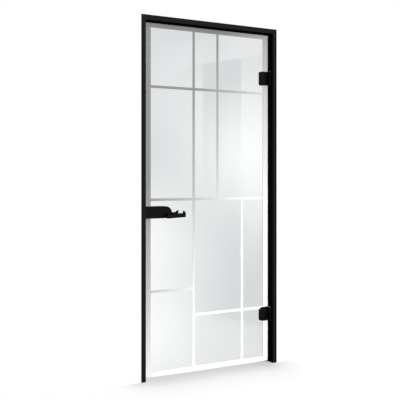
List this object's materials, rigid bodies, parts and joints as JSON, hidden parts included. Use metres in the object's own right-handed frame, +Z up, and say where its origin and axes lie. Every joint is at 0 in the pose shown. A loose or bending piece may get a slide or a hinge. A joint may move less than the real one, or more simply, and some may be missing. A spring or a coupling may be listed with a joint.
{
  "type": "framed glass door",
  "caption": "Single-leaf hinged door: a frameless safety glass leaf with matt border and lines, clamp hinges, a lock case and lever handles, in a three-sided black aluminium frame.",
  "frame": {"origin": "on the wall face of the hinge jamb, at floor level and at half the frame's depth", "axes": "+Z up, +X from the door towards the wall on the hinge side, the leaf's front with its hinges faces -Y"},
  "size_m": [0.902, 0.128, 2.012],
  "materials": {
    "black_frame": "satin black powder coat",
    "black_fitting": "satin black",
    "steel": "fine brushed",
    "seal_rubber": "matt",
    "grey_plastic": "matt dark grey",
    "clear_glass": "clear toughened glass with matt border and lines"
  },
  "bodies": {
    "frame": {"hinge_jamb": "black_frame", "strike_jamb": "black_frame", "head_rail": "black_frame", "seal_hinge_side": "seal_rubber", "seal_strike_side": "seal_rubber", "seal_head": "seal_rubber", "strike_plate": "steel", "strike_cup": "grey_plastic", "lower_hinge_bracket": "black_fitting", "lower_hinge_pin": "steel", "upper_hinge_bracket": "black_fitting", "upper_hinge_pin": "steel"},
    "leaf": {"glass_leaf": "clear_glass", "lower_hinge_plate_front": "black_fitting", "lower_hinge_plate_back": "black_fitting", "lower_hinge_gasket_front": "grey_plastic", "lower_hinge_gasket_back": "grey_plastic", "upper_hinge_plate_front": "black_fitting", "upper_hinge_plate_back": "black_fitting", "upper_hinge_gasket_front": "grey_plastic", "upper_hinge_gasket_back": "grey_plastic", "lock_case_front": "black_fitting", "lock_case_back": "black_fitting", "lock_gasket_front": "grey_plastic", "lock_gasket_back": "grey_plastic", "lock_forend": "steel", "latch_bolt": "steel", "lever_bush_front": "grey_plastic", "lever_bush_back": "grey_plastic"},
    "lever": {"lever_front": "black_fitting", "lever_back": "black_fitting", "lever_spindle": "steel"}
  },
  "joints": [
    {"name": "leaf_swing", "type": "hinge", "parent": "frame", "child": "leaf", "pos_m": [-0.042, -0.0305, 0], "axis": [0, 0, 1], "range_deg": [0, 105]},
    {"name": "lever_turn", "type": "hinge", "parent": "leaf", "child": "lever", "pos_m": [-0.732, 0, 0.907], "axis": [0, 1, 0], "range_deg": [0, 40], "stiffness_Nm_per_rad": 1.2, "springref_deg": -28.65}
  ]
}
